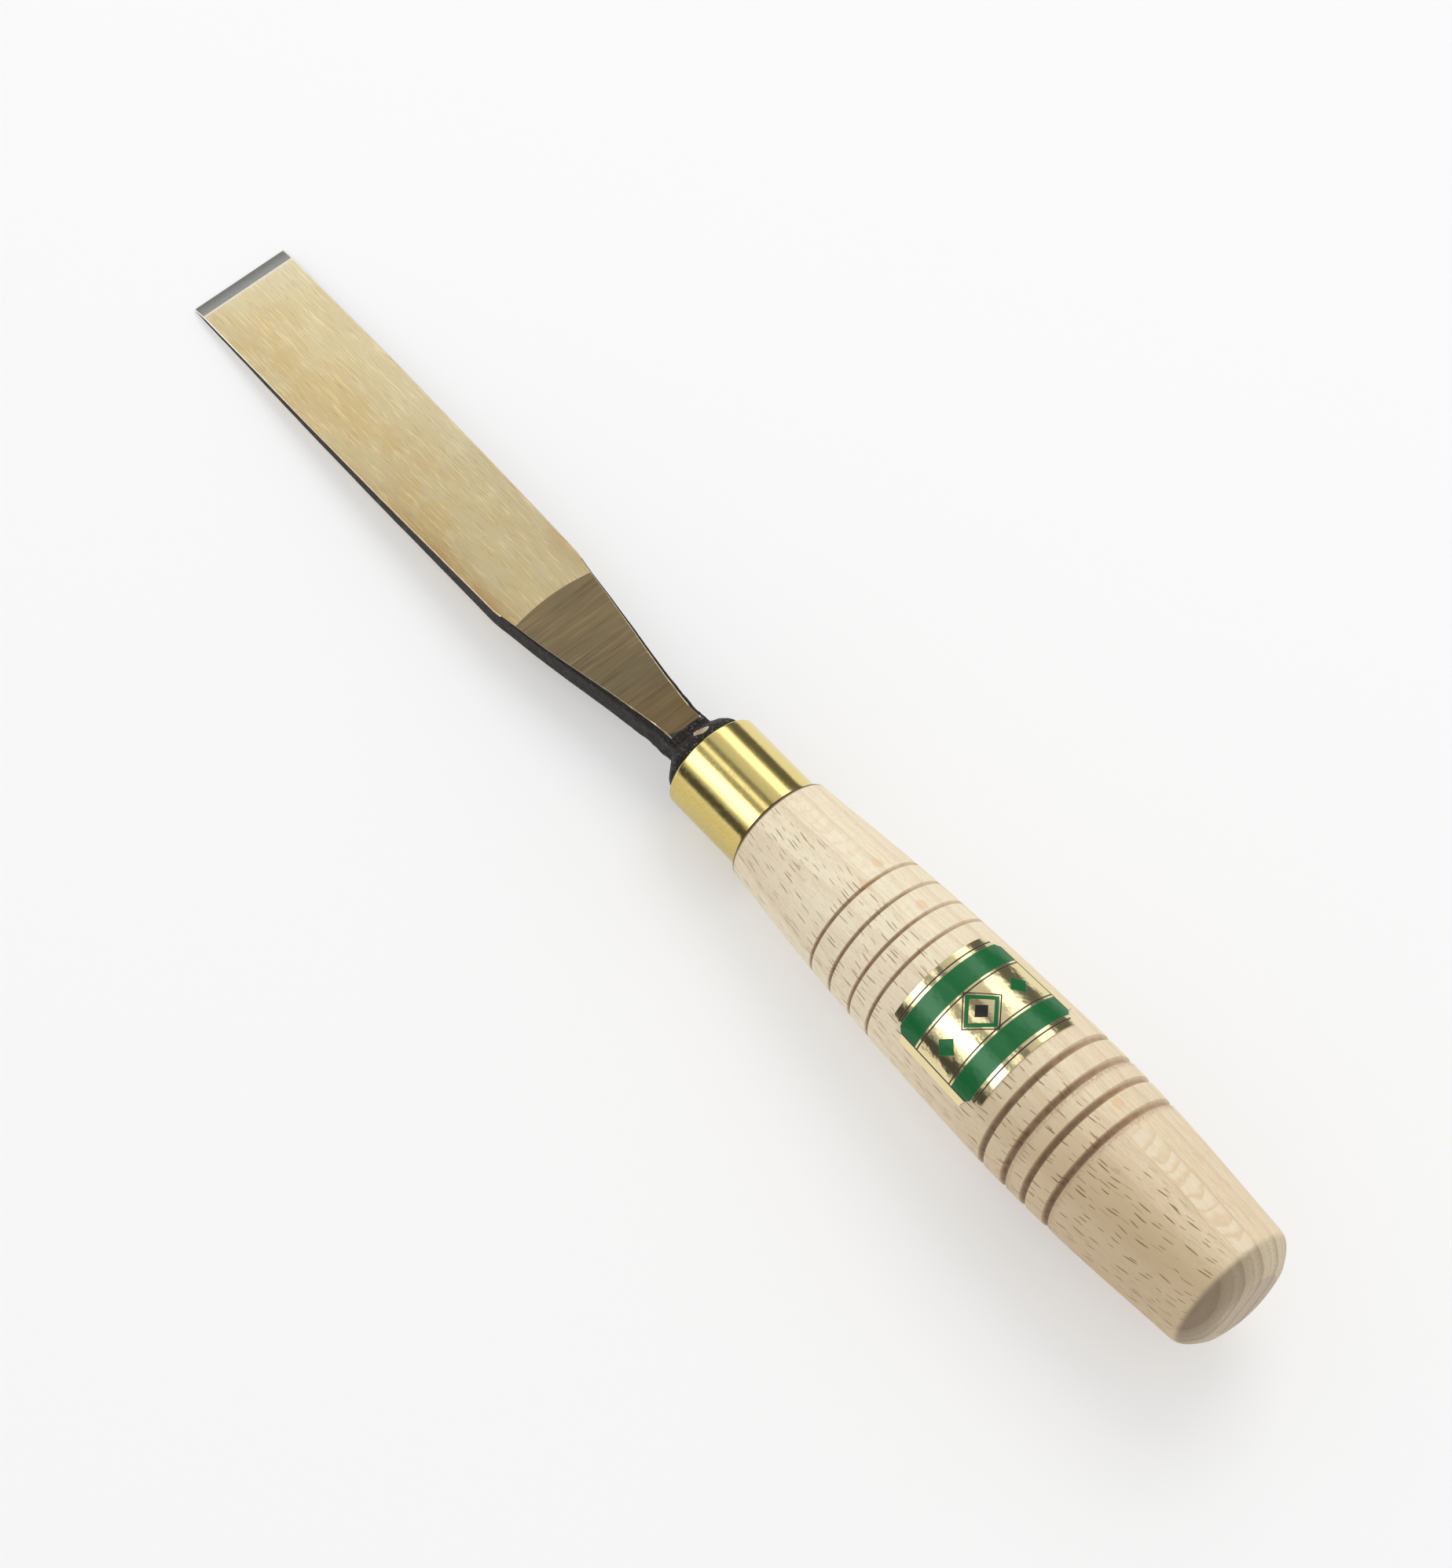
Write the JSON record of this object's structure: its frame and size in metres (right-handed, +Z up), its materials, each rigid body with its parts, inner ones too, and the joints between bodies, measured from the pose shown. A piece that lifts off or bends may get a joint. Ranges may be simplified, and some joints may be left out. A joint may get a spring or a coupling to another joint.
{
  "type": "bench chisel",
  "caption": "Carver's bench chisel: straight double-bevelled forged blade with waisted neck and bolster, brass ferrule, turned grooved beech handle, foil label.",
  "frame": {"origin": "on the flat surface the tool lies on, below the middle of its bounding box", "axes": "+X from the cutting edge towards the butt of the handle, +Y across the blade, +Z up from the surface"},
  "size_m": [0.2634, 0.0288, 0.0307],
  "materials": {
    "blade_steel": "ground faces brushed lengthwise with a straw temper colour, cross-ground brown neck facets, plain grey bevels, black forge scale on the sides, neck and bolster",
    "ferrule_brass": "polished, with faint lengthwise and turning marks",
    "handle_beech": "bare turned beech, satin, with short ray flecks and burnt grooves",
    "label_foil": "gold foil sticker printed with green bands and thin black lines"
  },
  "bodies": {
    "root": {"blade": "blade_steel", "ferrule": "ferrule_brass", "handle": "handle_beech", "label": "label_foil"}
  },
  "joints": []
}
